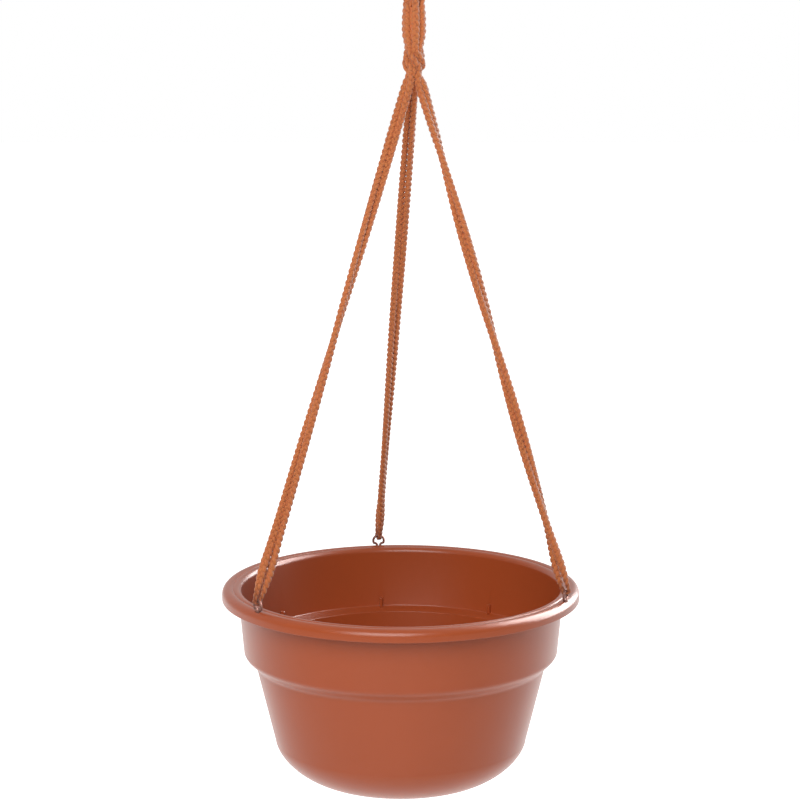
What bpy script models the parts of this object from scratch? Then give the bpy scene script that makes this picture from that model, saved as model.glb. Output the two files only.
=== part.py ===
"""Hanging basket: a moulded pot hung from three doubled cords that gather in a knot.

Units are metres and +Z is up. The origin is the point where a hook bears in the top
loop, so the pot hangs below it. The pot's own axis stands beside the knot's, because the
three cords are tied by hand and aren't of quite the same length.
"""
import math

import bpy
from mathutils import Vector

# The pot. Heights are measured from the rim's datum, just above its bead, and radii from
# the pot's axis.
RIM_RADIUS = 0.1525
RIM_DROP = 0.545
POT_AXIS_X = -0.0109
POT_HEIGHT = 0.1692
BEAD_RADIUS = 0.0062
BEAD_DROP = 0.0008
BEAD_WALL = 0.0014
SKIRT_DEPTH = 0.0113
RIDGE = (0.1403, -0.0054)
RIDGE_RADIUS = 0.0044
WALL = 0.0024
BAND_TOP_RADIUS = 0.1383
BAND_FOOT = (0.1342, -0.0566)
SHOULDER_FOOT = (0.1236, -0.0709)
BODY_FOOT = (0.1080, -0.1349)
LEDGE_OUTER = (0.1319, -0.0538)
LEDGE_INNER = (0.1214, -0.0566)
LEDGE_LIP = 0.0012
CORNER_POWER = 1.6
FOOT_RADIUS = 0.0650
FOOT_WIDTH = 0.0060
FOOT_HEIGHT = 0.0013
POT_STEPS = 60

# Small features of the pot.
RIB_COUNT = 8
RIB_SIZE = (0.0040, 0.0026, 0.0095)
RIB_RADIUS = 0.1313
RIB_HEIGHT = -0.0503
DRAIN_COUNT = 6
DRAIN_RADIUS = 0.0045
DRAIN_CIRCLE = 0.0470

# The wire eyes that stand in the rim.
EYES = {"rear": 97.8, "left": 217.8, "right": 337.8}
EYE_RADIUS = 0.1483
EYE_LOOP_RADIUS = 0.0048
EYE_LOOP_HEIGHT = 0.0033
EYE_WIRE = 0.0022
EYE_SLOT = (0.0031, 0.0062, 0.0080)
EYE_SLOT_HEIGHT = -0.0020
# one shank of an eye, from its splayed tip up to where the loop starts: across, up
EYE_SHANK = ((-0.0040, -0.0049), (-0.0027, -0.0048), (-0.0018, -0.0041), (-0.0014, -0.0030),
             (-0.0014, -0.0010), (-0.0017, 0.0000), (-0.0023, 0.0006), (-0.0032, 0.0010))
EYE_LOOP_START = 205.0

# The cords. Each leg is one cord that runs down to its eye, under the eye's wire and up.
CORD = 0.0056
BIGHT_RADIUS = 0.0042
# the spacing of a leg's two runs, by height above the eye's wire: they part above the eye
PAIR_SPACING = ((0.000, 0.0084), (0.010, 0.0086), (0.025, 0.0096), (0.035, 0.0090),
                (0.045, 0.0077), (0.057, 0.0066), (0.075, 0.0061), (0.090, 0.0060))
LEG_TOP = 0.4230
LEG_ROOT_RADIUS = 0.0066
LEG_POINTS = 28
# how far the two runs of a leg turn about each other, in degrees, from eye to knot
LEG_TWIST = {"rear": -129.0, "left": -250.0, "right": -499.0}

# The gathered cords above the legs: profiles are (radius, height above the rim's datum).
KNOT_PROFILE = ((0.0098, 0.4253), (0.0090, 0.4272), (0.0077, 0.4305), (0.0070, 0.4335),
                (0.0076, 0.4354), (0.0094, 0.4380), (0.0100, 0.4410), (0.0097, 0.4450),
                (0.0088, 0.4490), (0.0081, 0.4528))
NECK_PROFILE = ((0.0081, 0.4532), (0.0087, 0.4580), (0.0098, 0.4630), (0.0103, 0.4690),
                (0.0103, 0.4770), (0.0101, 0.4830), (0.0098, 0.4870))
KNOT_STEPS = 24
LOOP_TURN = 40.0
LOOP_SPACING = 0.0060
# half of a loop strand, from the neck up to the hook: out from the middle, up from the origin
LOOP_HALF = ((-0.0032, -0.0577), (-0.0033, -0.0500), (-0.0046, -0.0400), (-0.0067, -0.0280),
             (-0.0086, -0.0150), (-0.0082, -0.0060), (-0.0050, 0.0009))
LOOP_CROWN = (0.0, 0.0028)
POINTS_PER_SPAN = 2

TERRACOTTA = (0.42, 0.13, 0.07, 1.0)
ROPE_ORANGE = (0.52, 0.19, 0.06, 1.0)
DARK_STEEL = (0.16, 0.12, 0.11, 1.0)


def clear_scene():
    """Remove every object, so that the model starts from nothing."""
    for obj in list(bpy.data.objects):
        bpy.data.objects.remove(obj, do_unlink=True)


def new_collection(name):
    """A collection in the scene."""
    made = bpy.data.collections.new(name)
    bpy.context.scene.collection.children.link(made)
    return made


def new_material(name, colour, roughness, metallic=0.0):
    """A Principled material of one colour."""
    made = bpy.data.materials.new(name)
    made.use_nodes = True
    shader = made.node_tree.nodes["Principled BSDF"]
    shader.inputs["Base Color"].default_value = colour
    shader.inputs["Roughness"].default_value = roughness
    shader.inputs["Metallic"].default_value = metallic
    return made


def move_to(obj, collection):
    """Keep an object in one collection only."""
    for old in list(obj.users_collection):
        old.objects.unlink(obj)
    collection.objects.link(obj)


def hide_cutter(obj, cutters):
    """Mark an object as a tool of the Booleans, which isn't part of the model."""
    move_to(obj, cutters)
    obj.hide_render = True
    obj.display_type = "WIRE"


def on_rim(azimuth, radius, height):
    """The point at an azimuth in degrees about the pot's axis, above the rim's datum."""
    turn = math.radians(azimuth)
    return Vector((POT_AXIS_X + radius * math.cos(turn), radius * math.sin(turn),
                   height - RIM_DROP))


def arc(centre, radius, start, stop, count):
    """Points on an arc in the profile plane, with angles in degrees."""
    points = []
    for step in range(count):
        turn = math.radians(start + (stop - start) * step / (count - 1))
        points.append((centre[0] + radius * math.cos(turn),
                       centre[1] + radius * math.sin(turn)))
    return points


def shoulder(top, foot, count):
    """An S-shaped step between two points of a profile, without its first point."""
    points = []
    for step in range(1, count + 1):
        part = step / count
        ease = (1.0 - math.cos(math.pi * part)) / 2.0
        points.append((top[0] + (foot[0] - top[0]) * ease,
                       top[1] + (foot[1] - top[1]) * part))
    return points


def lower_corner(start, end, count):
    """A fat rounded corner that leaves start downwards and reaches end level."""
    points = []
    for step in range(1, count + 1):
        turn = math.pi / 2.0 * step / count
        across = max(math.cos(turn), 0.0) ** (2.0 / CORNER_POWER)
        down = math.sin(turn) ** (2.0 / CORNER_POWER)
        points.append((end[0] + (start[0] - end[0]) * across,
                       start[1] + (end[1] - start[1]) * down))
    return points


def pot_profile():
    """The pot's section, from the middle of its floor, over the rim, to its underside."""
    bead = (RIM_RADIUS - BEAD_RADIUS, -BEAD_RADIUS - BEAD_DROP)
    floor = FOOT_HEIGHT + WALL - POT_HEIGHT
    channel = BEAD_RADIUS - BEAD_WALL
    inner_foot = (BODY_FOOT[0] - WALL, BODY_FOOT[1])
    inner_corner = lower_corner(inner_foot, (FOOT_RADIUS, floor), 9)
    skirt = RIM_RADIUS - BEAD_WALL
    inside = [(0.0, floor)] + inner_corner[::-1] + [
        inner_foot, (LEDGE_INNER[0], LEDGE_INNER[1] - LEDGE_LIP), LEDGE_INNER, LEDGE_OUTER,
        (BAND_TOP_RADIUS - WALL, -SKIRT_DEPTH)]
    rim = arc(RIDGE, RIDGE_RADIUS, 180.0, 60.0, 5) + arc(bead, BEAD_RADIUS, 122.0, 0.0, 8)
    rim += [(RIM_RADIUS, -SKIRT_DEPTH), (skirt, -SKIRT_DEPTH)]
    under_rim = arc(bead, channel, 0.0, 180.0, 7)
    foot_inner = FOOT_RADIUS - FOOT_WIDTH
    outside = [(BAND_TOP_RADIUS, -SKIRT_DEPTH), BAND_FOOT]
    outside += shoulder(BAND_FOOT, SHOULDER_FOOT, 6) + [BODY_FOOT]
    outside += lower_corner(BODY_FOOT, (FOOT_RADIUS, -POT_HEIGHT), 11)
    outside += [(foot_inner, -POT_HEIGHT), (foot_inner - FOOT_HEIGHT, FOOT_HEIGHT - POT_HEIGHT),
                (0.0, FOOT_HEIGHT - POT_HEIGHT)]
    return inside + rim + under_rim + outside


def turned(name, profile, steps, place, material, collection):
    """A solid turned about the vertical through a place, from a profile at +X."""
    mesh = bpy.data.meshes.new(name)
    mesh.from_pydata([(radius, 0.0, height) for radius, height in profile],
                     [(step, step + 1) for step in range(len(profile) - 1)], [])
    obj = bpy.data.objects.new(name, mesh)
    collection.objects.link(obj)
    obj.location = place
    mesh.materials.append(material)
    screw = obj.modifiers.new("turn", "SCREW")
    screw.steps = steps
    screw.render_steps = steps
    screw.use_merge_vertices = True
    screw.merge_threshold = 0.00001
    screw.use_smooth_shade = True
    return obj


def boolean(obj, operation, operand):
    """Join or cut an object with another."""
    modifier = obj.modifiers.new(operand.name, "BOOLEAN")
    modifier.operation = operation
    modifier.solver = "EXACT"
    modifier.object = operand


def joined(name, pieces, cutters):
    """Make one hidden object of several loose ones."""
    bpy.ops.object.select_all(action="DESELECT")
    for piece in pieces:
        piece.select_set(True)
    bpy.context.view_layer.objects.active = pieces[0]
    bpy.ops.object.join()
    made = bpy.context.view_layer.objects.active
    made.name = name
    hide_cutter(made, cutters)
    return made


def box_at(azimuth, radius, height, size):
    """A box of radial, tangential and vertical size that faces the pot's axis."""
    bpy.ops.mesh.primitive_cube_add(size=1.0, location=on_rim(azimuth, radius, height),
                                    rotation=(0.0, 0.0, math.radians(azimuth)))
    made = bpy.context.active_object
    made.scale = size
    bpy.ops.object.transform_apply(location=False, rotation=False, scale=True)
    return made


def nesting_ribs(cutters):
    """The short upright ribs above the inner ledge, which keep stacked pots apart."""
    first = EYES["rear"]
    ribs = [box_at(first + 360.0 * count / RIB_COUNT, RIB_RADIUS, RIB_HEIGHT, RIB_SIZE)
            for count in range(RIB_COUNT)]
    return joined("nesting_ribs", ribs, cutters)


def eye_slots(cutters):
    """The slots in the crest of the rim that the wire eyes stand in."""
    slots = [box_at(azimuth, EYE_RADIUS, EYE_SLOT_HEIGHT, EYE_SLOT)
             for azimuth in EYES.values()]
    return joined("eye_slots", slots, cutters)


def drain_holes(cutters):
    """The round holes in the floor that let water out."""
    holes = []
    for count in range(DRAIN_COUNT):
        bpy.ops.mesh.primitive_cylinder_add(
            vertices=16, radius=DRAIN_RADIUS, depth=4.0 * WALL,
            location=on_rim(360.0 * count / DRAIN_COUNT, DRAIN_CIRCLE, -POT_HEIGHT))
        holes.append(bpy.context.active_object)
    return joined("drain_holes", holes, cutters)


def make_pot(parts, cutters):
    """The moulded pot, with its rolled rim, ledge, ribs, slots and drain holes."""
    plastic = new_material("terracotta_plastic", TERRACOTTA, 0.38)
    pot = turned("pot", pot_profile(), POT_STEPS, (POT_AXIS_X, 0.0, -RIM_DROP), plastic, parts)
    boolean(pot, "UNION", nesting_ribs(cutters))
    boolean(pot, "DIFFERENCE", eye_slots(cutters))
    boolean(pot, "DIFFERENCE", drain_holes(cutters))


def tube(name, points, diameter, material, collection):
    """A round rod or cord along a list of points, with closed ends."""
    curve = bpy.data.curves.new(name, "CURVE")
    curve.dimensions = "3D"
    curve.bevel_depth = diameter / 2.0
    curve.bevel_resolution = 2
    curve.use_fill_caps = True
    spline = curve.splines.new("POLY")
    spline.points.add(len(points) - 1)
    for knot, point in zip(spline.points, points):
        knot.co = (point[0], point[1], point[2], 1.0)
    curve.materials.append(material)
    made = bpy.data.objects.new(name, curve)
    collection.objects.link(made)
    return made


def smooth_route(route, per_span):
    """Points on the smooth curve through a route's own points."""
    ends = [2.0 * route[0] - route[1]] + list(route) + [2.0 * route[-1] - route[-2]]
    points = []
    for span in range(1, len(ends) - 2):
        before, start, stop, after = ends[span - 1:span + 3]
        for step in range(per_span):
            part = step / per_span
            points.append(0.5 * (2.0 * start + (stop - before) * part
                                 + (2.0 * before - 5.0 * start + 4.0 * stop - after) * part ** 2
                                 + (3.0 * start - before - 3.0 * stop + after) * part ** 3))
    points.append(route[-1])
    return points


def make_eye(name, azimuth, steel, parts):
    """A wire eye: an omega-shaped loop whose two shanks splay below the rim's wall."""
    shank = list(EYE_SHANK)
    loop = arc((0.0, EYE_LOOP_HEIGHT), EYE_LOOP_RADIUS, EYE_LOOP_START,
               180.0 - EYE_LOOP_START, 19)
    outline = shank + loop + [(-across, up) for across, up in reversed(shank)]
    turn = math.radians(azimuth)
    tangent = Vector((-math.sin(turn), math.cos(turn), 0.0))
    points = [on_rim(azimuth, EYE_RADIUS, up) + tangent * across for across, up in outline]
    tube(name, points, EYE_WIRE, steel, parts)


def leg_axis(azimuth, height):
    """The middle of a leg's two runs, at a height above the rim's datum."""
    turn = math.radians(azimuth)
    outward = Vector((math.cos(turn), math.sin(turn), 0.0))
    foot = on_rim(azimuth, EYE_RADIUS, EYE_LOOP_HEIGHT + EYE_LOOP_RADIUS)
    root = outward * LEG_ROOT_RADIUS + Vector((0.0, 0.0, LEG_TOP - RIM_DROP))
    part = (height - RIM_DROP - foot.z) / (root.z - foot.z)
    return foot.lerp(root, part)


def pair_spacing(above):
    """The spacing of a leg's two runs at a height above the eye's wire."""
    for (low, near), (high, far) in zip(PAIR_SPACING, PAIR_SPACING[1:]):
        if above < high:
            return near + (far - near) * (above - low) / (high - low)
    return PAIR_SPACING[-1][1]


def leg_route(azimuth, twist):
    """The route of one leg's cord: down one run, under the eye's wire and up the other."""
    wire = EYE_LOOP_HEIGHT + EYE_LOOP_RADIUS
    runs = ([], [])
    for step in range(LEG_POINTS + 1):
        part = (step / LEG_POINTS) ** 1.15
        height = wire + (LEG_TOP - wire) * part
        pair = math.radians(azimuth + twist * part)
        side = Vector((math.cos(pair), math.sin(pair), 0.0)) * pair_spacing(height - wire) / 2.0
        runs[0].append(leg_axis(azimuth, height) + side)
        runs[1].append(leg_axis(azimuth, height) - side)
    turn = math.radians(azimuth)
    outward = Vector((math.cos(turn), math.sin(turn), 0.0))
    middle = leg_axis(azimuth, wire)
    bight = [middle + outward * across + Vector((0.0, 0.0, up))
             for across, up in arc((0.0, 0.0), BIGHT_RADIUS, -22.5, -157.5, 7)]
    return runs[0][::-1] + bight + runs[1]


def loop_route(place):
    """The route of one strand of the top loop, whose place counts -1, 0 or 1 across."""
    turn = math.radians(LOOP_TURN)
    along = Vector((math.cos(turn), math.sin(turn), 0.0))
    across = Vector((-math.sin(turn), math.cos(turn), 0.0)) * place * LOOP_SPACING
    half = list(LOOP_HALF)
    outline = half + [LOOP_CROWN] + [(-out, up) for out, up in reversed(half)]
    return [along * out + across + Vector((0.0, 0.0, up)) for out, up in outline]


def gathered(name, profile, rope, parts):
    """A gathered stretch of the cords, turned about the knot's own axis."""
    ends = [(0.0, profile[-1][1])] + list(profile[::-1]) + [(0.0, profile[0][1])]
    turned(name, ends, KNOT_STEPS, (0.0, 0.0, -RIM_DROP), rope, parts)


def build():
    """Make every piece of the basket."""
    clear_scene()
    parts = new_collection("hanging_basket")
    cutters = new_collection("cutters")
    make_pot(parts, cutters)
    steel = new_material("eye_steel", DARK_STEEL, 0.45, 0.9)
    rope = new_material("plaited_cord", ROPE_ORANGE, 0.85)
    for side, azimuth in EYES.items():
        make_eye("eye_" + side, azimuth, steel, parts)
        tube("cord_" + side, leg_route(azimuth, LEG_TWIST[side]), CORD, rope, parts)
    gathered("tie_knot", KNOT_PROFILE, rope, parts)
    gathered("neck_bundle", NECK_PROFILE, rope, parts)
    for count, place in enumerate((-1, 0, 1), start=1):
        route = smooth_route(loop_route(place), POINTS_PER_SPAN)
        tube("loop_strand_%d" % count, route, CORD, rope, parts)


build()
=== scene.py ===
"""Finish of the hanging basket: a moulded pot, its wire eyes and its plaited cords.

Run it as a script in Blender. Units are metres and +Z is up. The origin is the point where
a hook bears in the top loop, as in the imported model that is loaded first.
"""

import math

import bpy
import numpy as np
from bpy.props import FloatProperty, FloatVectorProperty, IntProperty, PointerProperty
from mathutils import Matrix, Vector


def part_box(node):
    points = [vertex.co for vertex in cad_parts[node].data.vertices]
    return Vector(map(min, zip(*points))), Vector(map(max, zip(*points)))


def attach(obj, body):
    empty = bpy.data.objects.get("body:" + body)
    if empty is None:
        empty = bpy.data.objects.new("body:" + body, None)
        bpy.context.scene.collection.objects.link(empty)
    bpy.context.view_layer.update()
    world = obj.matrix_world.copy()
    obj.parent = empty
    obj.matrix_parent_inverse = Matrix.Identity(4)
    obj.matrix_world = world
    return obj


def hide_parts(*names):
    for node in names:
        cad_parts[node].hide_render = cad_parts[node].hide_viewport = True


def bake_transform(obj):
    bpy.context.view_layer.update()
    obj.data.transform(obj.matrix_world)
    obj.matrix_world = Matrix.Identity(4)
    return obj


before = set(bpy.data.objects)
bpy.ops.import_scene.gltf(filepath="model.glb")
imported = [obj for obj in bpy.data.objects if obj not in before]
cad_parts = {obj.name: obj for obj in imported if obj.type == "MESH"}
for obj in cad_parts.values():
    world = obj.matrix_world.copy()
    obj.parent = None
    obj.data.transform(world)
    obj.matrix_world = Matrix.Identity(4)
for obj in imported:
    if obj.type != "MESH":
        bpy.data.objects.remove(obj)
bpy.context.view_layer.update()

bl_info = {
    "name": "Hanging Basket",
    "version": (1, 0, 0),
    "blender": (4, 5, 0),
    "location": "View3D > Sidebar > Basket",
    "description": "Models the pot, wire eyes and plaited cords of a hanging basket",
    "category": "Add Mesh",
}

# The pot's place and outer sizes come from the frame. Heights are measured from the rim's
# datum, which is a little above the rim's bead.
POT_LOW, POT_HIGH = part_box("pot")
BEAD_DROP = 0.0008
RIM_DATUM = POT_HIGH.z + BEAD_DROP
POT_AXIS_X = (POT_LOW.x + POT_HIGH.x) / 2.0
RIM_RADIUS = (POT_HIGH.x - POT_LOW.x) / 2.0
POT_HEIGHT = RIM_DATUM - POT_LOW.z

# The pot's section: radii from its axis, and heights from the rim's datum.
BEAD_RADIUS = 0.0062
BEAD_WALL = 0.0014
SKIRT_DEPTH = 0.0113
RIDGE = (0.1403, -0.0054)
RIDGE_RADIUS = 0.0044
# where the ridge's arc ends and the bead's starts, in degrees: the hollow between them
RIDGE_END = 58.0
BEAD_START = 124.0
WALL = 0.0024
BAND_TOP_RADIUS = 0.1383
BAND_FOOT = (0.1342, -0.0566)
SHOULDER_FOOT = (0.1236, -0.0709)
BODY_FOOT = (0.1080, -0.1349)
LEDGE_OUTER = (0.1319, -0.0538)
LEDGE_INNER = (0.1214, -0.0566)
LEDGE_LIP = 0.0012
CORNER_POWER = 1.6
FOOT_RADIUS = 0.0650
FOOT_WIDTH = 0.0060
FOOT_HEIGHT = 0.0013
# corners that turn less than this stay as they are, and a round takes this share of a side
BLUNT_CORNER = math.radians(18.0)
ROUND_SHARE = 0.4

# Small features of the pot: sizes are radial, tangential and upright.
RIB_COUNT = 8
RIB_SIZE = (0.0040, 0.0026, 0.0095)
RIB_RADIUS = 0.1313
RIB_HEIGHT = -0.0503
RIB_EDGE = 0.0006
DRAIN_COUNT = 6
DRAIN_RADIUS = 0.0045
DRAIN_CIRCLE = 0.0470
EYE_SLOT = (0.0031, 0.0062, 0.0080)
EYE_SLOT_HEIGHT = -0.0020

# Faces that meet at less than these angles are shaded as one smooth surface, and points that
# lie closer than the weld are merged.
POT_CREASE = math.radians(35.0)
WIRE_CREASE = math.radians(40.0)
WELD = 0.00001

# The wire eyes: azimuths in degrees about the pot's axis, then one shank's outline.
EYES = {"rear": 97.8, "left": 217.8, "right": 337.8}
EYE_RADIUS = 0.1483
EYE_LOOP_RADIUS = 0.0048
EYE_LOOP_HEIGHT = 0.0033
EYE_WIRE = 0.0022
EYE_SHANK = ((-0.0040, -0.0049), (-0.0027, -0.0048), (-0.0018, -0.0041), (-0.0014, -0.0030),
             (-0.0014, -0.0010), (-0.0017, 0.0000), (-0.0023, 0.0006), (-0.0032, 0.0010))
EYE_LOOP_START = 205.0

# A cord is a plait of three yarns: its diameter, a yarn's radius, how far the yarns rise over
# one another, and how far from the cord's middle its painted shade is darkest and ends.
CORD = 0.0058
YARN = CORD * 0.290
YARN_LIFT = CORD * 0.15
PAINTED_SHADE_SPAN = (CORD * 0.20, CORD * 0.46)
# the length of yarn that the UV map counts as 1
UV_LENGTH = 0.01
# how far round each strand's plait starts from the strand's before it, in radians
LOOP_PHASE = 1.3
NECK_PHASE = 0.9
KNOT_PHASE = 1.7

# The cords' routes. Each leg is one cord, down to its eye, under the wire and up again.
BIGHT_RADIUS = 0.0029
BIGHT_ENDS = (-22.5, -157.5)
# a leg's two runs: how far apart they are, by height above the eye's wire
PAIR_SPACING = ((0.000, 0.0056), (0.005, 0.0062), (0.010, 0.0070), (0.016, 0.0076),
                (0.025, 0.0078), (0.035, 0.0068), (0.045, 0.0060), (0.057, 0.0055),
                (0.075, 0.0052), (0.090, 0.0051))
# how much of that parting each leg has, and how far its fold is turned, in degrees
LEG_PARTING = {"rear": 0.5, "left": 1.0, "right": 0.8}
FOLD_TURN = {"rear": 22.0, "left": 0.0, "right": 0.0}
FOLD_REACH = 0.045
# how full a leg's cord is, by length from its fold: squeezed in the eye and slack above it
LEG_FULLNESS = ((0.000, 0.62), (0.008, 0.74), (0.016, 1.00), (0.026, 1.27), (0.038, 1.28),
                (0.048, 1.22), (0.062, 1.14), (0.085, 1.09))
# how fast the plait turns along a leg, in radians per metre
LEG_ROLL = 9.0
LEG_TOP = 0.4230
LEG_ROOT_RADIUS = 0.0066
LEG_POINTS = 28
# over 1, a leg's points lie closer together near its eye
LEG_CROWDING = 1.15
# how far the two runs turn round each other on the way up, in degrees
LEG_TWIST = {"rear": -129.0, "left": -250.0, "right": -499.0}
LOOP_TURN = 40.0
LOOP_SPACING = 0.0060
LOOP_HALF = ((-0.0032, -0.0577), (-0.0033, -0.0500), (-0.0046, -0.0400), (-0.0067, -0.0280),
             (-0.0086, -0.0150), (-0.0082, -0.0060), (-0.0050, 0.0009))
LOOP_CROWN = (0.0, 0.0028)
LOOP_ENTRY = (-0.0032, -0.0640)
# where a leg's two runs go above its own route, into the knot: (distance from axis, height)
LEG_ENTRY = ((0.0046, 0.4300), (0.0041, 0.4345), (0.0046, 0.4400))

# The gathered cords: (outer radius, height above the rim's datum), bottom to top.
KNOT_PROFILE = ((0.0076, 0.4354), (0.0094, 0.4380), (0.0100, 0.4410), (0.0097, 0.4450),
                (0.0088, 0.4490), (0.0081, 0.4528))
NECK_PROFILE = ((0.0081, 0.4532), (0.0087, 0.4580), (0.0098, 0.4630), (0.0103, 0.4690),
                (0.0103, 0.4770), (0.0101, 0.4830), (0.0098, 0.4870))
# where the strands' ends are tucked away inside their neighbours: (outer radius, height)
KNOT_FOOT_TUCK = ((0.0040, 0.4300), (0.0058, 0.4335))
KNOT_HEAD_TUCK = ((0.0068, 0.4550), (0.0050, 0.4580))
NECK_TUCK = ((0.0055, 0.4430), (0.0068, 0.4480))
KNOT_STRANDS = 6
KNOT_POINTS = 20
KNOT_WRAP = 0.50
NECK_STRANDS = 6
NECK_SWELL = 0.20
# where the neck's outer strands go above its profile: out past the loop's, and up into it
NECK_SPREAD = 0.0006
NECK_REACH = 0.0030
# the plain middle of a gathered stretch lies this far inside its outline
NECK_INSET = CORD * 0.45
KNOT_INSET = CORD * 0.5
FILLING_STEPS = 24

# How much darker and lighter than their colours the plastic's mottle and the wire's worn
# patches are.
MOTTLE = (0.94, 1.06)
WORN_STEEL = 1.8

# The studio: the lamps' places and sizes, and the stretch from front to back over which the
# floor and the room brighten.
FLOOR_SIZE = 24.0
FLOOR_DROP = 0.35
FLOOR_FADE = (-0.6, 0.8)
ROOM_FADE = (-0.6, 0.6)
SENSOR_WIDTH = 36.0
KEY_PLACE = (-0.28, -1.26, 0.28)
KEY_SIZE = 1.0
CARD_PLACE = (1.19, 0.70, 0.16)
CARD_SIZE = 1.6


# ---------------------------------------------------------------- settings

class PotSettings(bpy.types.PropertyGroup):
    """Sizes and finish of the moulded pot."""

    steps: IntProperty(
        name="Steps", description="Faces round the pot", default=192, min=48, max=360)
    edge_round: FloatProperty(
        name="Edge Round", description="How far a moulded edge is rounded off",
        default=0.0009, min=0.0, max=0.003, unit="LENGTH")
    colour: FloatVectorProperty(
        name="Plastic", description="Colour of the moulded plastic", subtype="COLOR",
        size=4, min=0.0, max=1.0, default=(0.375, 0.070, 0.0175, 1.0))
    roughness: FloatProperty(
        name="Roughness", description="How matt the plastic is", default=0.30,
        min=0.0, max=1.0, subtype="FACTOR")


class CordSettings(bpy.types.PropertyGroup):
    """Sizes and finish of the plaited cords."""

    pitch: FloatProperty(
        name="Plait Pitch", description="Length in which a yarn comes back to its side",
        default=0.0150, min=0.008, max=0.04, unit="LENGTH")
    ring_gap: FloatProperty(
        name="Ring Gap", description="Distance between a yarn's rings of points",
        default=0.0010, min=0.0005, max=0.003, unit="LENGTH")
    sides: IntProperty(
        name="Sides", description="Sides of a yarn", default=8, min=5, max=16)
    colour: FloatVectorProperty(
        name="Yarn", description="Colour of the yarn where light falls on it",
        subtype="COLOR", size=4, min=0.0, max=1.0, default=(0.60, 0.170, 0.045, 1.0))
    # painted shade: the darker colour that the yarn takes deep between its neighbours
    painted_shade_colour: FloatVectorProperty(
        name="Painted Shade", description="Colour of the yarn deep between its neighbours",
        subtype="COLOR", size=4, min=0.0, max=1.0, default=(0.20, 0.040, 0.012, 1.0))


class EyeSettings(bpy.types.PropertyGroup):
    """Finish of the wire eyes."""

    colour: FloatVectorProperty(
        name="Steel", description="Colour of the blackened wire", subtype="COLOR",
        size=4, min=0.0, max=1.0, default=(0.180, 0.080, 0.062, 1.0))


class StudioSettings(bpy.types.PropertyGroup):
    """The camera, the backdrop and the lights."""

    camera_place: FloatVectorProperty(
        name="Camera", description="Where the camera stands", subtype="TRANSLATION",
        unit="LENGTH", size=3, default=(-0.0115, -2.134, -0.0109))
    camera_tilt: FloatProperty(
        name="Tilt", description="How far the camera looks down", subtype="ANGLE",
        default=math.radians(9.97))
    lens: FloatProperty(
        name="Lens", description="Focal length in millimetres", default=115.55,
        min=10.0, max=300.0)
    backdrop: FloatVectorProperty(
        name="Backdrop", description="Colour of the floor and the backdrop",
        subtype="COLOR", size=4, min=0.0, max=1.0, default=(0.70, 0.70, 0.70, 1.0))
    floor_glow: FloatProperty(
        name="Floor Glow", description="How brightly the floor lights what hangs over it",
        default=0.20, min=0.0, max=2.0)
    front_light: FloatProperty(
        name="Front Light", description="How bright the room is behind the camera",
        default=0.15, min=0.0, max=2.0)
    back_light: FloatProperty(
        name="Back Light", description="How bright the room is beyond the basket",
        default=0.75, min=0.0, max=2.0)
    key_power: FloatProperty(
        name="Key Light", description="Power of the lamp in front, in watts", default=18.5,
        min=0.0, max=500.0)
    card_power: FloatProperty(
        name="Right Card", description="Power of the bright card that the right side mirrors, "
        "in watts", default=110.0, min=0.0, max=500.0)


# ---------------------------------------------------------------- geometry helpers

def outward_at(azimuth):
    """The level direction at an azimuth in degrees."""
    turn = math.radians(azimuth)
    return Vector((math.cos(turn), math.sin(turn), 0.0))


def tangent_at(azimuth):
    """The level direction square to the one at an azimuth in degrees."""
    turn = math.radians(azimuth)
    return Vector((-math.sin(turn), math.cos(turn), 0.0))


def upright(height):
    """The vector that goes up by a height."""
    return Vector((0.0, 0.0, height))


def on_rim(azimuth, radius, height):
    """The point at an azimuth in degrees about the pot's axis, above the rim's datum."""
    turn = math.radians(azimuth)
    return Vector((POT_AXIS_X + radius * math.cos(turn), radius * math.sin(turn),
                   RIM_DATUM + height))


def arc(centre, radius, start, stop, count):
    """Points on an arc in the plane of an outline, with angles in degrees."""
    points = []
    for step in range(count):
        turn = math.radians(start + (stop - start) * step / (count - 1))
        points.append((centre[0] + radius * math.cos(turn),
                       centre[1] + radius * math.sin(turn)))
    return points


def smooth_route(route, per_span):
    """Points on the smooth curve through a route's own points."""
    ends = [2.0 * route[0] - route[1]] + list(route) + [2.0 * route[-1] - route[-2]]
    points = []
    for span in range(1, len(ends) - 2):
        before, start, stop, after = ends[span - 1:span + 3]
        for step in range(per_span):
            part = step / per_span
            points.append(0.5 * (2.0 * start + (stop - before) * part
                                 + (2.0 * before - 5.0 * start + 4.0 * stop - after) * part ** 2
                                 + (3.0 * start - before - 3.0 * stop + after) * part ** 3))
    points.append(route[-1])
    return points


def distances(route):
    """How far along a numpy route each of its points is."""
    steps = np.linalg.norm(np.diff(route, axis=0), axis=1)
    return np.concatenate(([0.0], np.cumsum(steps)))


def evenly_spaced(points, gap):
    """A numpy route with its points a fixed gap apart, and how far along each one is."""
    route = np.array([tuple(point) for point in points], float)
    along = distances(route)
    count = max(int(round(along[-1] / gap)), 4)
    wanted = np.linspace(0.0, along[-1], count + 1)
    spaced = np.stack([np.interp(wanted, along, route[:, axis]) for axis in range(3)], axis=1)
    return spaced, wanted


def carried_frames(route, first_side):
    """Two directions across a route at each point, carried along it without twist."""
    heading = np.gradient(route, axis=0)
    heading /= np.linalg.norm(heading, axis=1)[:, None]
    side = np.zeros_like(route)
    current = np.array(tuple(first_side), float)
    for count, ahead in enumerate(heading):
        current = current - ahead * np.dot(current, ahead)
        current /= np.linalg.norm(current)
        side[count] = current
    return side, np.cross(heading, side)


def add_object(name, data):
    """A new object in the scene, with its data."""
    made = bpy.data.objects.new(name, data)
    bpy.context.scene.collection.objects.link(made)
    return made


def deselect_all():
    """Leave nothing selected, so that the next tool acts on its own piece only."""
    bpy.ops.object.select_all(action="DESELECT")


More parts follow.
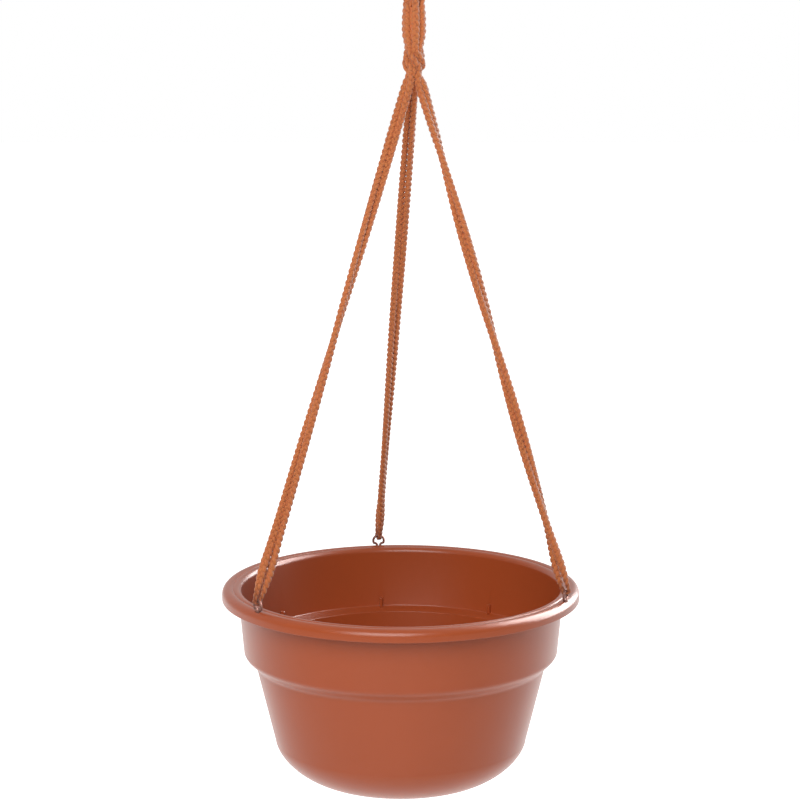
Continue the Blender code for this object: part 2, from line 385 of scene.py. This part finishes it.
def make_active(piece):
    """Select one piece and nothing else."""
    deselect_all()
    piece.select_set(True)
    bpy.context.view_layer.objects.active = piece


def weld_outwards(piece):
    """Merge a piece's doubled points and turn its faces outwards."""
    make_active(piece)
    bpy.ops.object.mode_set(mode="EDIT")
    bpy.ops.mesh.select_all(action="SELECT")
    bpy.ops.mesh.remove_doubles(threshold=WELD)
    bpy.ops.mesh.normals_make_consistent(inside=False)
    bpy.ops.object.mode_set(mode="OBJECT")


def apply_modifiers(piece):
    """Apply a piece's modifiers in their order."""
    make_active(piece)
    for modifier in list(piece.modifiers):
        bpy.ops.object.modifier_apply(modifier=modifier.name)


def set_finish(piece, material):
    """Give a piece its material."""
    piece.data.materials.clear()
    piece.data.materials.append(material)


# ---------------------------------------------------------------- yarn and cord

def yarn_tubes(lines, sides, name):
    """One mesh of capped tubes, for lines of (route, radii, first side, cord's middle).

    Each point keeps a painted shade by how deep it lies, and the UV map runs round and along.
    """
    corners = []
    faces = []
    around = []
    lengthwise = []
    painted_shade_depths = []
    angles = np.arange(sides) * 2.0 * math.pi / sides
    for route, radii, first_side, middle in lines:
        side, across = carried_frames(route, first_side)
        start = len(corners)
        along = distances(route)
        for count, point in enumerate(route):
            for angle in angles:
                corner = point + radii[count] * (side[count] * math.cos(angle)
                                                 + across[count] * math.sin(angle))
                corners.append(tuple(corner))
                painted_shade_depths.append(float(np.linalg.norm(corner - middle[count])))
        last = len(route) - 1
        for count in range(last):
            for turn in range(sides):
                beside = (turn + 1) % sides
                faces.append((start + count * sides + turn, start + count * sides + beside,
                              start + (count + 1) * sides + beside,
                              start + (count + 1) * sides + turn))
                near = along[count]
                far = along[count + 1]
                around.extend((turn, turn + 1, turn + 1, turn))
                lengthwise.extend((near, near, far, far))
        faces.append(tuple(start + turn for turn in reversed(range(sides))))
        around.extend(reversed(range(sides)))
        lengthwise.extend([0.0] * sides)
        faces.append(tuple(start + last * sides + turn for turn in range(sides)))
        around.extend(range(sides))
        lengthwise.extend([along[-1]] * sides)
    mesh = bpy.data.meshes.new(name)
    mesh.from_pydata(corners, [], faces)
    layer = mesh.uv_layers.new(name="yarn")
    places = np.empty(2 * len(around), np.float32)
    places[0::2] = np.array(around) / sides
    places[1::2] = np.array(lengthwise) / UV_LENGTH
    layer.data.foreach_set("uv", places)
    # painted shade: points near the cord's middle, deep between the yarns, are marked darkest
    low, high = PAINTED_SHADE_SPAN
    shade = 1.0 - np.clip((np.array(painted_shade_depths) - low) / (high - low), 0.0, 1.0)
    attribute = mesh.attributes.new("painted_shade", "FLOAT", "POINT")
    attribute.data.foreach_set("value", shade.astype(np.float32))
    mesh.shade_smooth()
    return add_object(name, mesh)


def plait_lines(points, first_side, settings, start_turn=0.0, roll=0.0, fullness=None):
    """The three yarns of a plait laid along a route, as yarn_tubes wants them."""
    route, along = evenly_spaced(points, settings.ring_gap)
    side, across = carried_frames(route, first_side)
    rolled = roll * along
    wide = side * np.cos(rolled)[:, None] + across * np.sin(rolled)[:, None]
    flat = across * np.cos(rolled)[:, None] - side * np.sin(rolled)[:, None]
    swing = CORD / 2.0 - YARN
    full = np.ones(len(route)) if fullness is None else fullness(along)
    lines = []
    for strand in range(3):
        turn = 2.0 * math.pi * (along / settings.pitch + strand / 3.0) + start_turn
        centre = (route + wide * (swing * full * np.sin(turn))[:, None]
                  + flat * (YARN_LIFT * full * np.sin(2.0 * turn))[:, None])
        lines.append((centre, YARN * full, tuple(side[0]), route))
    return lines


def plaited_cord(name, points, first_side, settings, start_turn=0.0, roll=0.0, fullness=None):
    """One plaited cord along a route."""
    lines = plait_lines(points, first_side, settings, start_turn, roll, fullness)
    return yarn_tubes(lines, settings.sides, name)


def leg_axis(azimuth, height):
    """The middle of a leg's two runs, at a height above the rim's datum."""
    foot = on_rim(azimuth, EYE_RADIUS, EYE_LOOP_HEIGHT + EYE_LOOP_RADIUS)
    root = outward_at(azimuth) * LEG_ROOT_RADIUS + upright(LEG_TOP + RIM_DATUM)
    part = (height + RIM_DATUM - foot.z) / (root.z - foot.z)
    return foot.lerp(root, part)


def pair_spacing(above, parting):
    """The spacing of a leg's two runs at a height above the eye's wire."""
    heights, spacings = zip(*PAIR_SPACING)
    closed = PAIR_SPACING[-1][1]
    return closed + (float(np.interp(above, heights, spacings)) - closed) * parting


def leg_route(side, azimuth):
    """The route of one leg's cord: down one run, under the eye's wire and up the other."""
    wire = EYE_LOOP_HEIGHT + EYE_LOOP_RADIUS
    parting = LEG_PARTING[side]
    runs = ([], [])
    for step in range(LEG_POINTS + 1):
        part = (step / LEG_POINTS) ** LEG_CROWDING
        height = wire + (LEG_TOP - wire) * part
        fold = FOLD_TURN[side] * max(0.0, 1.0 - (height - wire) / FOLD_REACH)
        apart = outward_at(azimuth + fold + LEG_TWIST[side] * part)
        apart *= pair_spacing(height - wire, parting) / 2.0
        runs[0].append(leg_axis(azimuth, height) + apart)
        runs[1].append(leg_axis(azimuth, height) - apart)
    outward = outward_at(azimuth + FOLD_TURN[side])
    middle = leg_axis(azimuth, wire)
    bight = [middle + outward * across + upright(up)
             for across, up in arc((0.0, 0.0), BIGHT_RADIUS, *BIGHT_ENDS, 7)]
    for run in runs:
        inward = Vector((run[-1].x, run[-1].y, 0.0)).normalized()
        run.extend(inward * out + upright(RIM_DATUM + up) for out, up in LEG_ENTRY)
    return runs[0][::-1] + bight + runs[1]


def loop_route(place):
    """The route of one strand of the top loop, whose place counts -1, 0 or 1 across."""
    along = outward_at(LOOP_TURN)
    across = tangent_at(LOOP_TURN) * place * LOOP_SPACING
    half = [LOOP_ENTRY] + list(LOOP_HALF)
    outline = half + [LOOP_CROWN] + [(-out, up) for out, up in reversed(half)]
    return [along * out + across + upright(up) for out, up in outline]


def fold_fullness(fold):
    """How full a leg's cord is along its length, with its fold part of the way along."""
    def fullness(along):
        lengths, amounts = zip(*LEG_FULLNESS)
        return np.interp(np.abs(along - fold), lengths, amounts)
    return fullness


def route_length(points):
    """The length of a route through its points."""
    return sum((after - before).length for before, after in zip(points, points[1:]))


# ---------------------------------------------------------------- knot and neck

def outer_radius(profile, height):
    """The outer radius of a gathered stretch at a height above the rim's datum."""
    return float(np.interp(height, [up for _, up in profile], [out for out, _ in profile]))


def filling(profile, inset):
    """A plain middle for a gathered stretch, so that no light shows between its strands."""
    low = profile[0][1]
    high = profile[-1][1]
    middle = np.array([(0.0, 0.0, RIM_DATUM + low + (high - low) * step / FILLING_STEPS)
                       for step in range(FILLING_STEPS + 1)])
    radii = np.array([outer_radius(profile, point[2] - RIM_DATUM) - inset for point in middle])
    return middle, radii, (1.0, 0.0, 0.0), middle


def neck_lines(settings):
    """The loop's six runs, squeezed together down the neck and into the knot."""
    profile = NECK_TUCK + NECK_PROFILE
    lines = [filling(profile, NECK_INSET)]
    for strand in range(NECK_STRANDS):
        azimuth = LOOP_TURN + 360.0 * strand / NECK_STRANDS
        outward = outward_at(azimuth)
        points = [outward * (outer_radius(profile, height) - CORD / 2.0)
                  + upright(RIM_DATUM + height) for _, height in profile]
        top = LOOP_SPACING + NECK_SPREAD if strand % 3 else -LOOP_HALF[0][0]
        points.append(outward * top + upright(LOOP_HALF[0][1] + NECK_REACH))
        lines += plait_lines(smooth_route(points, 4), tangent_at(azimuth), settings,
                             NECK_PHASE * strand, fullness=neck_fullness)
    return lines


def neck_fullness(along):
    """How full a strand is along the neck: its yarns spread out in the bulge."""
    part = along / along[-1]
    return 1.0 + NECK_SWELL * np.sin(math.pi * np.clip(part, 0.0, 1.0))


def knot_lines(settings):
    """The strands that wrap the knot slantwise, with their ends tucked inside."""
    profile = KNOT_FOOT_TUCK + KNOT_PROFILE + KNOT_HEAD_TUCK
    lines = [filling(profile, KNOT_INSET)]
    low = profile[0][1]
    high = profile[-1][1]
    for strand in range(KNOT_STRANDS):
        points = []
        for step in range(KNOT_POINTS + 1):
            part = step / KNOT_POINTS
            height = low + (high - low) * part
            angle = 2.0 * math.pi * (strand / KNOT_STRANDS - KNOT_WRAP * part)
            radius = outer_radius(profile, height) - CORD / 2.0
            points.append(Vector((radius * math.cos(angle), radius * math.sin(angle),
                                  RIM_DATUM + height)))
        lines += plait_lines(smooth_route(points, 4), (0.0, 0.0, 1.0), settings,
                             KNOT_PHASE * strand)
    return lines


# ---------------------------------------------------------------- materials

def new_material(name):
    """A material with nodes, its node tree and its Principled shader."""
    made = bpy.data.materials.new(name)
    made.use_nodes = True
    return made, made.node_tree, made.node_tree.nodes["Principled BSDF"]


def add_node(tree, kind, **values):
    """A new node, with values set on its named inputs or on the node itself."""
    node = tree.nodes.new(kind)
    for name, value in values.items():
        plain = name.replace("_", " ")
        if plain in node.inputs:
            node.inputs[plain].default_value = value
        else:
            setattr(node, name, value)
    return node


def add_mix(tree, blend_type="MIX"):
    """The sockets of a new node that mixes two colours: factor, both colours and result."""
    node = tree.nodes.new("ShaderNodeMix")
    node.data_type = "RGBA"
    node.blend_type = blend_type
    return node.inputs[0], node.inputs[6], node.inputs[7], node.outputs[2]


def shade_of(colour, amount):
    """A colour made darker or lighter by an amount, and opaque."""
    return tuple(min(amount * part, 1.0) for part in colour[:3]) + (1.0,)


def moulded_plastic(settings):
    """Terracotta-coloured polypropylene, satin, with a faint mottle and mould grain."""
    made, tree, shader = new_material("moulded_plastic")
    shader.inputs["Roughness"].default_value = settings.roughness
    shader.inputs["Specular IOR Level"].default_value = 0.5
    place = add_node(tree, "ShaderNodeTexCoord")
    mottle = add_node(tree, "ShaderNodeTexNoise", Scale=14.0, Detail=3.0)
    tree.links.new(place.outputs["Object"], mottle.inputs["Vector"])
    factor, first, second, mixed = add_mix(tree)
    first.default_value = shade_of(settings.colour, MOTTLE[0])
    second.default_value = shade_of(settings.colour, MOTTLE[1])
    tree.links.new(mottle.outputs["Fac"], factor)
    tree.links.new(mixed, shader.inputs["Base Color"])
    grain = add_node(tree, "ShaderNodeTexNoise", Scale=1400.0, Detail=2.0)
    tree.links.new(place.outputs["Object"], grain.inputs["Vector"])
    bump = add_node(tree, "ShaderNodeBump", Strength=0.06, Distance=0.0002)
    tree.links.new(grain.outputs["Fac"], bump.inputs["Height"])
    tree.links.new(bump.outputs["Normal"], shader.inputs["Normal"])
    return made


def plaited_yarn(settings):
    """Orange-brown yarn, with fine fibres along it and painted shade in its hollows."""
    made, tree, shader = new_material("plaited_yarn")
    shader.inputs["Roughness"].default_value = 0.78
    shader.inputs["Sheen Weight"].default_value = 0.25
    shader.inputs["Sheen Roughness"].default_value = 0.45
    # painted shade: the yarn's colour is mixed towards the darker one deep between the yarns
    painted_shade = add_node(tree, "ShaderNodeAttribute", attribute_name="painted_shade")
    factor, first, second, mixed = add_mix(tree)
    first.default_value = tuple(settings.colour)
    second.default_value = tuple(settings.painted_shade_colour)
    tree.links.new(painted_shade.outputs["Fac"], factor)
    place = add_node(tree, "ShaderNodeUVMap", uv_map="yarn")
    lay = add_node(tree, "ShaderNodeMapping")
    lay.inputs["Rotation"].default_value = (0.0, 0.0, math.radians(12.0))
    lay.inputs["Scale"].default_value = (14.0, 3.0, 1.0)
    tree.links.new(place.outputs["UV"], lay.inputs["Vector"])
    fibres = add_node(tree, "ShaderNodeTexNoise", Scale=1.0, Detail=2.0)
    tree.links.new(lay.outputs["Vector"], fibres.inputs["Vector"])
    amount, base, dark, streaked = add_mix(tree, "MULTIPLY")
    amount.default_value = 0.35
    tree.links.new(mixed, base)
    tree.links.new(fibres.outputs["Color"], dark)
    tree.links.new(streaked, shader.inputs["Base Color"])
    bump = add_node(tree, "ShaderNodeBump", Strength=0.5, Distance=0.0002)
    tree.links.new(fibres.outputs["Fac"], bump.inputs["Height"])
    tree.links.new(bump.outputs["Normal"], shader.inputs["Normal"])
    return made


def blackened_wire(settings):
    """Dark drawn steel wire with a dull, slightly uneven skin."""
    made, tree, shader = new_material("blackened_wire")
    shader.inputs["Metallic"].default_value = 0.6
    place = add_node(tree, "ShaderNodeTexCoord")
    patches = add_node(tree, "ShaderNodeTexNoise", Scale=600.0, Detail=3.0)
    tree.links.new(place.outputs["Object"], patches.inputs["Vector"])
    factor, first, second, mixed = add_mix(tree)
    first.default_value = tuple(settings.colour)
    second.default_value = shade_of(settings.colour, WORN_STEEL)
    tree.links.new(patches.outputs["Fac"], factor)
    tree.links.new(mixed, shader.inputs["Base Color"])
    spread = add_node(tree, "ShaderNodeMapRange", To_Min=0.42, To_Max=0.62)
    tree.links.new(patches.outputs["Fac"], spread.inputs["Value"])
    tree.links.new(spread.outputs["Result"], shader.inputs["Roughness"])
    return made


def studio_paper(settings):
    """The matt white floor: pure white to the camera, and dimmer as a light in front."""
    made, tree, shader = new_material("studio_paper")
    shader.inputs["Base Color"].default_value = tuple(settings.backdrop)
    shader.inputs["Roughness"].default_value = 0.9
    shader.inputs["Emission Color"].default_value = (1.0, 1.0, 1.0, 1.0)
    place = add_node(tree, "ShaderNodeTexCoord")
    split = add_node(tree, "ShaderNodeSeparateXYZ")
    tree.links.new(place.outputs["Object"], split.inputs["Vector"])
    glow = add_node(tree, "ShaderNodeMapRange", From_Min=FLOOR_FADE[0], From_Max=FLOOR_FADE[1],
                    To_Min=settings.floor_glow, To_Max=1.0)
    tree.links.new(split.outputs["Y"], glow.inputs["Value"])
    path = add_node(tree, "ShaderNodeLightPath")
    level = add_node(tree, "ShaderNodeMath", operation="MAXIMUM")
    tree.links.new(glow.outputs["Result"], level.inputs[0])
    tree.links.new(path.outputs["Is Camera Ray"], level.inputs[1])
    tree.links.new(level.outputs["Value"], shader.inputs["Emission Strength"])
    return made


def studio_world(settings):
    """The room: pure white to the camera, and as a light dimmer in front than behind."""
    made = bpy.data.worlds.new("studio")
    made.use_nodes = True
    tree = made.node_tree
    white = tree.nodes["Background"]
    white.inputs["Color"].default_value = (1.0, 1.0, 1.0, 1.0)
    place = add_node(tree, "ShaderNodeTexCoord")
    split = add_node(tree, "ShaderNodeSeparateXYZ")
    tree.links.new(place.outputs["Generated"], split.inputs["Vector"])
    room = add_node(tree, "ShaderNodeMapRange", From_Min=ROOM_FADE[0], From_Max=ROOM_FADE[1],
                    To_Min=settings.front_light, To_Max=settings.back_light)
    tree.links.new(split.outputs["Y"], room.inputs["Value"])
    path = add_node(tree, "ShaderNodeLightPath")
    level = add_node(tree, "ShaderNodeMix")
    level.inputs["B"].default_value = 1.0
    tree.links.new(path.outputs["Is Camera Ray"], level.inputs["Factor"])
    tree.links.new(room.outputs["Result"], level.inputs["A"])
    tree.links.new(level.outputs["Result"], white.inputs["Strength"])
    return made


def soft_light(name, place, target, size, power):
    """A square area light that faces a target."""
    data = bpy.data.lights.new(name, "AREA")
    data.shape = "SQUARE"
    data.size = size
    data.energy = power
    lamp = add_object(name, data)
    lamp.location = place
    lamp.rotation_euler = (Vector(target) - Vector(place)).to_track_quat("-Z", "Y").to_euler()
    return lamp


# ---------------------------------------------------------------- pot

def shoulder(top, foot, count):
    """An S-shaped step between two points of an outline, without its first point."""
    points = []
    for step in range(1, count + 1):
        part = step / count
        ease = (1.0 - math.cos(math.pi * part)) / 2.0
        points.append((top[0] + (foot[0] - top[0]) * ease,
                       top[1] + (foot[1] - top[1]) * part))
    return points


def lower_corner(start, end, count):
    """A fat rounded corner that leaves start downwards and reaches end level."""
    points = []
    for step in range(1, count + 1):
        turn = math.pi / 2.0 * step / count
        across = max(math.cos(turn), 0.0) ** (2.0 / CORNER_POWER)
        down = math.sin(turn) ** (2.0 / CORNER_POWER)
        points.append((end[0] + (start[0] - end[0]) * across,
                       start[1] + (end[1] - start[1]) * down))
    return points


def pot_outline():
    """The pot's section, from the middle of its floor, over the rim, to its underside."""
    bead = (RIM_RADIUS - BEAD_RADIUS, -BEAD_RADIUS - BEAD_DROP)
    floor = FOOT_HEIGHT + WALL - POT_HEIGHT
    channel = BEAD_RADIUS - BEAD_WALL
    inner_foot = (BODY_FOOT[0] - WALL, BODY_FOOT[1])
    inner_corner = lower_corner(inner_foot, (FOOT_RADIUS, floor), 20)
    skirt = RIM_RADIUS - BEAD_WALL
    inside = [(0.0, floor)] + inner_corner[::-1] + [
        inner_foot, (LEDGE_INNER[0], LEDGE_INNER[1] - LEDGE_LIP), LEDGE_INNER, LEDGE_OUTER,
        (BAND_TOP_RADIUS - WALL, -SKIRT_DEPTH)]
    rim = arc(RIDGE, RIDGE_RADIUS, 180.0, RIDGE_END, 13)
    rim += arc(bead, BEAD_RADIUS, BEAD_START, 0.0, 21)
    rim += [(RIM_RADIUS, -SKIRT_DEPTH), (skirt, -SKIRT_DEPTH)]
    under_rim = arc(bead, channel, 0.0, 180.0, 13)
    foot_inner = FOOT_RADIUS - FOOT_WIDTH
    outside = [(BAND_TOP_RADIUS, -SKIRT_DEPTH), BAND_FOOT]
    outside += shoulder(BAND_FOOT, SHOULDER_FOOT, 14) + [BODY_FOOT]
    outside += lower_corner(BODY_FOOT, (FOOT_RADIUS, -POT_HEIGHT), 24)
    outside += [(foot_inner, -POT_HEIGHT), (foot_inner - FOOT_HEIGHT, FOOT_HEIGHT - POT_HEIGHT),
                (0.0, FOOT_HEIGHT - POT_HEIGHT)]
    return inside + rim + under_rim + outside


def rounded(outline, reach):
    """An outline whose sharp corners are rounded, each over at most a reach to each side."""
    points = [outline[0]]
    for before, corner, after in zip(outline, outline[1:], outline[2:]):
        middle = Vector(corner)
        back = Vector(before) - middle
        ahead = Vector(after) - middle
        if back.angle(-ahead) < BLUNT_CORNER:
            points.append(corner)
            continue
        cut = min(reach, ROUND_SHARE * back.length, ROUND_SHARE * ahead.length)
        start = middle + back.normalized() * cut
        stop = middle + ahead.normalized() * cut
        for part in (0.0, 0.25, 0.5, 0.75, 1.0):
            points.append(tuple(start * (1.0 - part) ** 2 + middle * 2.0 * part * (1.0 - part)
                                + stop * part ** 2))
    points.append(outline[-1])
    return points


def turned_shape(name, outline, steps, place):
    """Spin an outline of (radius, height) points about the upright through a place."""
    deselect_all()
    bpy.ops.mesh.primitive_circle_add(vertices=len(outline), radius=1.0, fill_type="NOTHING")
    made = bpy.context.active_object
    made.name = name
    for vertex, (radius, height) in zip(made.data.vertices, outline):
        vertex.co = (place[0] + radius, place[1], place[2] + height)
    last = len(outline) - 1
    bpy.ops.object.mode_set(mode="EDIT")
    bpy.ops.mesh.select_mode(type="EDGE")
    bpy.ops.mesh.select_all(action="DESELECT")
    bpy.ops.object.mode_set(mode="OBJECT")
    for edge in made.data.edges:
        edge.select = set(edge.vertices) == {0, last}
    bpy.ops.object.mode_set(mode="EDIT")
    bpy.ops.mesh.delete(type="EDGE")
    bpy.ops.mesh.select_all(action="SELECT")
    bpy.ops.mesh.spin(steps=steps, angle=2.0 * math.pi, center=place, axis=(0.0, 0.0, 1.0))
    bpy.ops.object.mode_set(mode="OBJECT")
    weld_outwards(made)
    return made


def box_at(azimuth, radius, height, size, edge=0.0):
    """A box that faces the pot's axis, with its edges rounded if an edge is given."""
    deselect_all()
    bpy.ops.mesh.primitive_cube_add(size=1.0, location=on_rim(azimuth, radius, height),
                                    rotation=(0.0, 0.0, math.radians(azimuth)))
    made = bpy.context.active_object
    made.scale = size
    bpy.ops.object.transform_apply(location=True, rotation=True, scale=True)
    if edge:
        bevel = made.modifiers.new("edges", "BEVEL")
        bevel.width = edge
        bevel.segments = 3
        apply_modifiers(made)
    return made


def combine(piece, operation, tools):
    """Join tools to a piece, or cut them out of it, and take them away."""
    deselect_all()
    for tool in tools:
        tool.select_set(True)
    bpy.context.view_layer.objects.active = tools[0]
    bpy.ops.object.join()
    tool = bpy.context.active_object
    boolean = piece.modifiers.new(operation.lower(), "BOOLEAN")
    boolean.operation = operation
    boolean.solver = "EXACT"
    boolean.object = tool
    apply_modifiers(piece)
    bpy.data.objects.remove(tool, do_unlink=True)


def drain_hole(azimuth):
    """A cylinder through the pot's floor."""
    deselect_all()
    bpy.ops.mesh.primitive_cylinder_add(
        vertices=32, radius=DRAIN_RADIUS, depth=4.0 * WALL,
        location=on_rim(azimuth, DRAIN_CIRCLE, -POT_HEIGHT))
    return bpy.context.active_object


def model_pot(settings):
    """The turned pot with its nesting ribs, eye slots and drain holes."""
    outline = rounded(pot_outline(), settings.edge_round)
    pot = turned_shape("moulded_pot", outline, settings.steps, (POT_AXIS_X, 0.0, RIM_DATUM))
    first = EYES["rear"]
    ribs = [box_at(first + 360.0 * count / RIB_COUNT, RIB_RADIUS, RIB_HEIGHT, RIB_SIZE, RIB_EDGE)
            for count in range(RIB_COUNT)]
    combine(pot, "UNION", ribs)
    slots = [box_at(azimuth, EYE_RADIUS, EYE_SLOT_HEIGHT, EYE_SLOT) for azimuth in EYES.values()]
    combine(pot, "DIFFERENCE", slots)
    holes = [drain_hole(360.0 * count / DRAIN_COUNT) for count in range(DRAIN_COUNT)]
    combine(pot, "DIFFERENCE", holes)
    make_active(pot)
    bpy.ops.object.shade_smooth_by_angle(angle=POT_CREASE)
    return pot


# ---------------------------------------------------------------- wire eyes

def bent_eye(name, azimuth):
    """A wire bent into a loop, with two shanks that splay below the rim's slot."""
    loop = arc((0.0, EYE_LOOP_HEIGHT), EYE_LOOP_RADIUS, EYE_LOOP_START,
               180.0 - EYE_LOOP_START, 37)
    outline = list(EYE_SHANK) + loop + [(-across, up) for across, up in reversed(EYE_SHANK)]
    tangent = tangent_at(azimuth)
    points = smooth_route([on_rim(azimuth, EYE_RADIUS, up) + tangent * across
                           for across, up in outline], 2)
    curve = bpy.data.curves.new(name, "CURVE")
    curve.dimensions = "3D"
    curve.bevel_depth = EYE_WIRE / 2.0
    curve.bevel_resolution = 4
    curve.use_fill_caps = True
    spline = curve.splines.new("POLY")
    spline.points.add(len(points) - 1)
    for bend, point in zip(spline.points, points):
        bend.co = (point.x, point.y, point.z, 1.0)
    make_active(add_object(name, curve))
    bpy.ops.object.convert(target="MESH")
    wire = bpy.context.active_object
    weld_outwards(wire)
    bpy.ops.object.shade_smooth_by_angle(angle=WIRE_CREASE)
    return wire


# ---------------------------------------------------------------- operators

class BASKET_OT_legs(bpy.types.Operator):
    """Lay the three doubled cords from the eyes up to the knot."""

    bl_idname = "basket.make_legs"
    bl_label = "Plaited Legs"

    def execute(self, context):
        settings = context.scene.basket_cords
        material = plaited_yarn(settings)
        for side, azimuth in EYES.items():
            route = smooth_route(leg_route(side, azimuth), 3)
            fullness = fold_fullness(route_length(route) / 2.0)
            piece = plaited_cord("leg_" + side, route, outward_at(azimuth), settings,
                                 roll=LEG_ROLL, fullness=fullness)
            set_finish(piece, material)
            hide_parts("cord_" + side)
            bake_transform(piece)
        return {"FINISHED"}


class BASKET_OT_top_loop(bpy.types.Operator):
    """Lay the three strands of the loop that goes over the hook."""

    bl_idname = "basket.make_top_loop"
    bl_label = "Top Loop"

    def execute(self, context):
        settings = context.scene.basket_cords
        material = bpy.data.materials["plaited_yarn"]
        for count, place in enumerate((-1, 0, 1), start=1):
            route = smooth_route(loop_route(place), 6)
            piece = plaited_cord("loop_strand_plait_%d" % count, route,
                                 tangent_at(LOOP_TURN), settings, LOOP_PHASE * count)
            set_finish(piece, material)
            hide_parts("loop_strand_%d" % count)
            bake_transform(piece)
        return {"FINISHED"}


class BASKET_OT_knot(bpy.types.Operator):
    """Gather the cords into the knot and the neck above it."""

    bl_idname = "basket.make_knot"
    bl_label = "Knot and Neck"

    def execute(self, context):
        settings = context.scene.basket_cords
        material = bpy.data.materials["plaited_yarn"]
        neck = yarn_tubes(neck_lines(settings), settings.sides, "neck_strands")
        set_finish(neck, material)
        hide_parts("neck_bundle")
        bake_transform(neck)
        knot = yarn_tubes(knot_lines(settings), settings.sides, "knot_wraps")
        set_finish(knot, material)
        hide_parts("tie_knot")
        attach(knot, "knot")
        return {"FINISHED"}


class BASKET_OT_pot(bpy.types.Operator):
    """Mould the pot."""

    bl_idname = "basket.make_pot"
    bl_label = "Moulded Pot"

    def execute(self, context):
        settings = context.scene.basket_pot
        pot = model_pot(settings)
        set_finish(pot, moulded_plastic(settings))
        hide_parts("pot")
        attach(pot, "basket")
        return {"FINISHED"}


class BASKET_OT_eyes(bpy.types.Operator):
    """Bend the three wire eyes that stand in the rim."""

    bl_idname = "basket.make_eyes"
    bl_label = "Wire Eyes"

    def execute(self, context):
        material = blackened_wire(context.scene.basket_eyes)
        for side, azimuth in EYES.items():
            wire = bent_eye("wire_eye_" + side, azimuth)
            set_finish(wire, material)
            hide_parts("eye_" + side)
            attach(wire, side + "_eye")
        return {"FINISHED"}


class BASKET_OT_stage(bpy.types.Operator):
    """Set up the camera, the backdrop and the lights."""

    bl_idname = "basket.make_stage"
    bl_label = "Studio"

    def execute(self, context):
        settings = context.scene.basket_studio
        data = bpy.data.cameras.new("camera")
        data.lens = settings.lens
        data.sensor_width = SENSOR_WIDTH
        camera = add_object("camera", data)
        camera.location = settings.camera_place
        camera.rotation_euler = (math.pi / 2.0 - settings.camera_tilt, 0.0, 0.0)
        bpy.context.scene.camera = camera

        deselect_all()
        bpy.ops.mesh.primitive_plane_add(size=FLOOR_SIZE,
                                         location=(0.0, 0.0, POT_LOW.z - FLOOR_DROP))
        floor = context.active_object
        floor.name = "floor"
        bpy.ops.object.transform_apply(location=True, rotation=True, scale=True)
        floor.data.materials.append(studio_paper(settings))

        context.scene.view_settings.view_transform = "Standard"
        context.scene.world = studio_world(settings)
        target = (POT_AXIS_X, 0.0, RIM_DATUM)
        soft_light("key", KEY_PLACE, target, KEY_SIZE, settings.key_power)
        card = soft_light("right_card", CARD_PLACE, target, CARD_SIZE, settings.card_power)
        card.visible_diffuse = False
        return {"FINISHED"}


class BASKET_PT_panel(bpy.types.Panel):
    """The basket's tools, in the 3D view's sidebar."""

    bl_label = "Hanging Basket"
    bl_idname = "BASKET_PT_panel"
    bl_space_type = "VIEW_3D"
    bl_region_type = "UI"
    bl_category = "Basket"

    def draw(self, context):
        layout = self.layout
        for name in SETTINGS:
            group = getattr(context.scene, name)
            box = layout.box()
            for setting in group.__annotations__:
                box.prop(group, setting)
        for operator in OPERATORS:
            layout.operator(operator.bl_idname)


OPERATORS = (BASKET_OT_stage, BASKET_OT_legs, BASKET_OT_top_loop, BASKET_OT_knot,
             BASKET_OT_pot, BASKET_OT_eyes)
SETTINGS = {"basket_pot": PotSettings, "basket_cords": CordSettings,
            "basket_eyes": EyeSettings, "basket_studio": StudioSettings}


def register():
    """Add the settings, tools and panel to Blender."""
    for name, group in SETTINGS.items():
        bpy.utils.register_class(group)
        setattr(bpy.types.Scene, name, PointerProperty(type=group))
    for kind in OPERATORS + (BASKET_PT_panel,):
        bpy.utils.register_class(kind)


def unregister():
    """Take the settings, tools and panel out of Blender."""
    for kind in reversed(OPERATORS + (BASKET_PT_panel,)):
        bpy.utils.unregister_class(kind)
    for name, group in SETTINGS.items():
        delattr(bpy.types.Scene, name)
        bpy.utils.unregister_class(group)


def main():
    """Make every piece."""
    register()
    bpy.ops.basket.make_stage()
    bpy.ops.basket.make_legs()
    bpy.ops.basket.make_top_loop()
    bpy.ops.basket.make_knot()
    bpy.ops.basket.make_pot()
    bpy.ops.basket.make_eyes()


if __name__ == "__main__":
    main()
